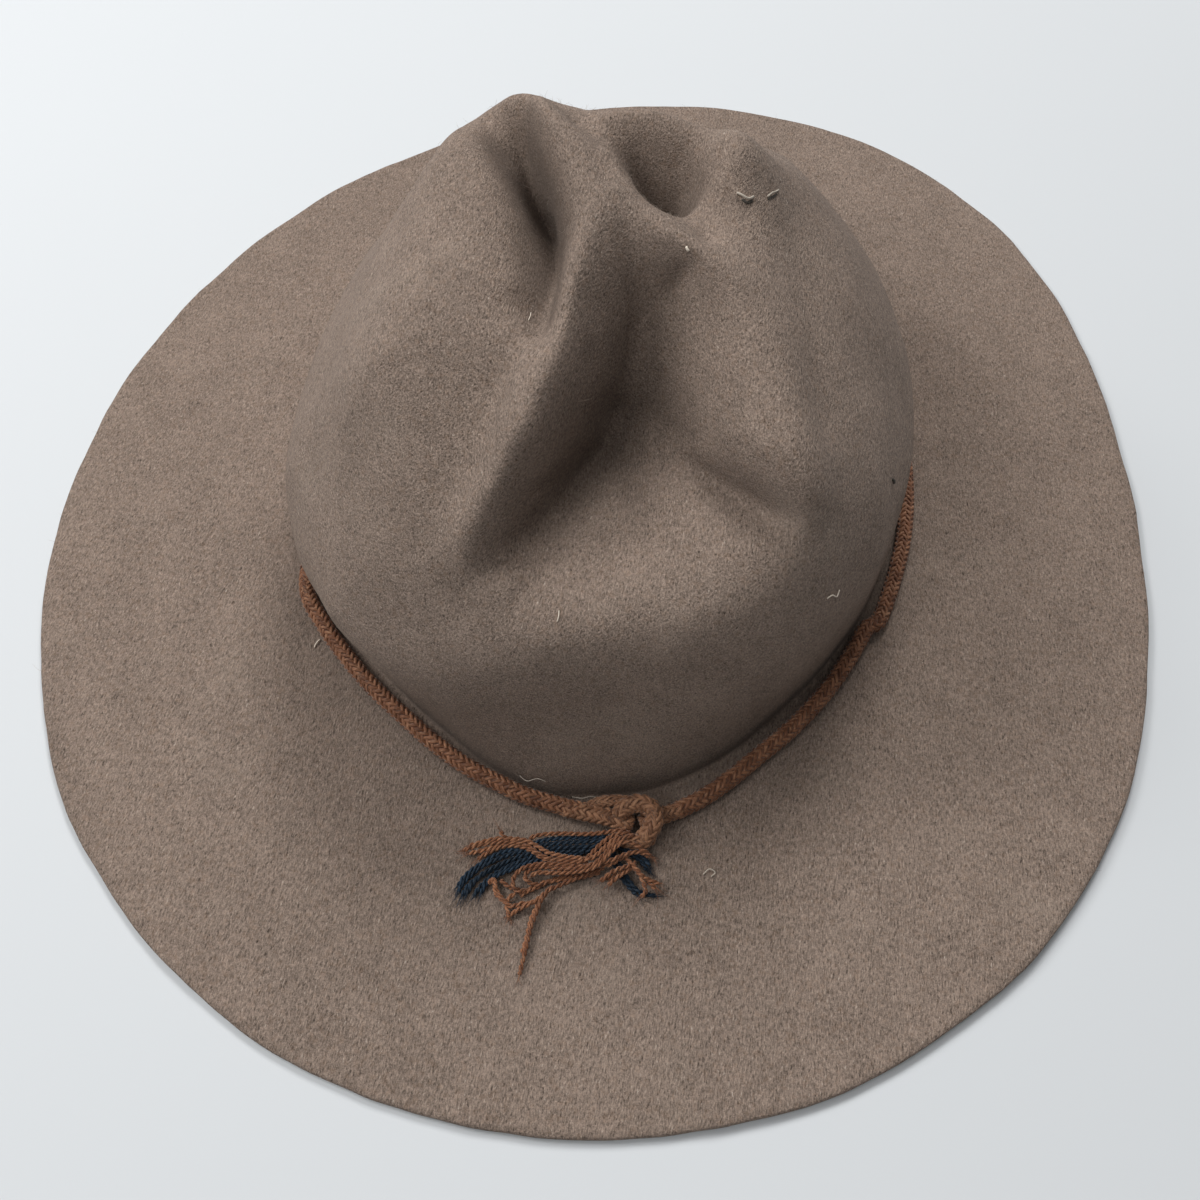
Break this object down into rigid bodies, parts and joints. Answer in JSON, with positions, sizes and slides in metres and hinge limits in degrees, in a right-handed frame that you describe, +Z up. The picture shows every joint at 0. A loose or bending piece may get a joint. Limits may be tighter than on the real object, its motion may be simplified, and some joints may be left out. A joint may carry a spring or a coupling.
{
  "type": "scout hat",
  "caption": "Wide-brimmed felt hat with a pinched and dented crown, a flat raw-edged brim, and a braided cord round the crown, knotted in front with frayed tassels.",
  "frame": {"origin": "the middle of the hat's outline seen from above, on the surface that the brim rests on", "axes": "+X to the wearer's left, -Y to the front of the hat, +Z up out of the crown"},
  "size_m": [0.3147, 0.3666, 0.1076],
  "materials": {
    "felt": "matt, worn, mottled wool felt",
    "cord": "braided strands with a faint sheen",
    "navy_yarn": "twisted and frayed yarn",
    "brown_yarn": "twisted and frayed yarn"
  },
  "bodies": {
    "root": {"crown_and_brim": "felt", "hat_cord": "cord", "cord_knot": "cord", "tassel_navy": "navy_yarn", "tassel_brown": "brown_yarn"}
  },
  "joints": []
}
